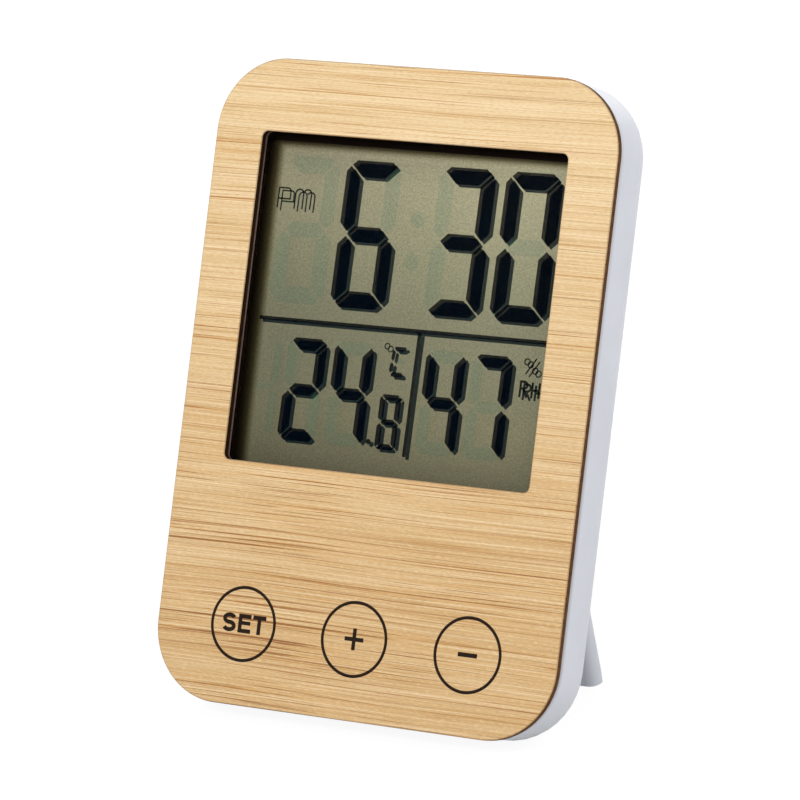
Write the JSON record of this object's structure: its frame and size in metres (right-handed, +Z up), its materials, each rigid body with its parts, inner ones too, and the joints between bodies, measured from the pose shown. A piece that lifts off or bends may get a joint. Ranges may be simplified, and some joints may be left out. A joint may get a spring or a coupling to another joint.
{
  "type": "weather station",
  "caption": "Desk weather station with a bamboo face, a large segment display for time, temperature and humidity, touch keys and a fold-out stand.",
  "frame": {"origin": "middle of the footprint, on the surface the station stands on, with the stand open", "axes": "+Z up, the display faces -Y and leans back 20 degrees, +X to the right of the display as seen from the front"},
  "size_m": [0.085, 0.0526, 0.1156],
  "materials": {
    "bamboo": "fine-grained laminated bamboo, satin clear coat, scorched cut edges",
    "housing_white": "fine-textured pale grey-white moulded ABS",
    "bezel_black": "matt black moulded plastic",
    "lens_clear": "clear gloss acrylic",
    "display_glass": "polished display glass with film polariser",
    "display_reflector": "satin olive-grey reflector film",
    "adhesive": "thin double-sided tape",
    "foam": "dark closed-cell foam",
    "connector_rubber": "striped silicone rubber",
    "board": "green solder mask",
    "epoxy": "glossy black epoxy",
    "steel": "bright plated steel",
    "brass": "lacquered brass disc"
  },
  "bodies": {
    "case": {"rear_housing": "housing_white", "bamboo_faceplate": "bamboo", "adhesive_sheet": "adhesive", "display_lens": "lens_clear", "display_bezel": "bezel_black", "lcd_front_glass": "display_glass", "lcd_rear_glass": "display_glass", "lcd_reflector": "display_reflector", "display_cushion": "foam", "display_connector": "connector_rubber", "front_chassis": "housing_white", "main_board": "board", "controller_blob": "epoxy", "crystal": "steel", "climate_sensor": "housing_white", "buzzer": "brass", "coin_cell": "steel", "battery_contact_negative": "steel", "battery_contact_positive": "steel", "touch_pad_set": "foam", "touch_pad_plus": "foam", "touch_pad_minus": "foam", "case_screw_1": "steel", "case_screw_2": "steel", "case_screw_3": "steel", "case_screw_4": "steel", "board_screw_1": "steel", "board_screw_2": "steel", "board_screw_3": "steel", "board_screw_4": "steel"},
    "stand": {"stand": "housing_white"},
    "battery_cover": {"battery_cover": "housing_white"}
  },
  "joints": [
    {"name": "stand_hinge", "type": "hinge", "parent": "case", "child": "stand", "pos_m": [0, 0.00391, 0.04892], "axis": [1, 0, 0], "range_deg": [-33.3, 0]},
    {"name": "battery_cover_turn", "type": "hinge", "parent": "case", "child": "battery_cover", "pos_m": [0, 0.01472, 0.07744], "axis": [0, 0.9397, -0.342], "range_deg": [0, 40]}
  ]
}
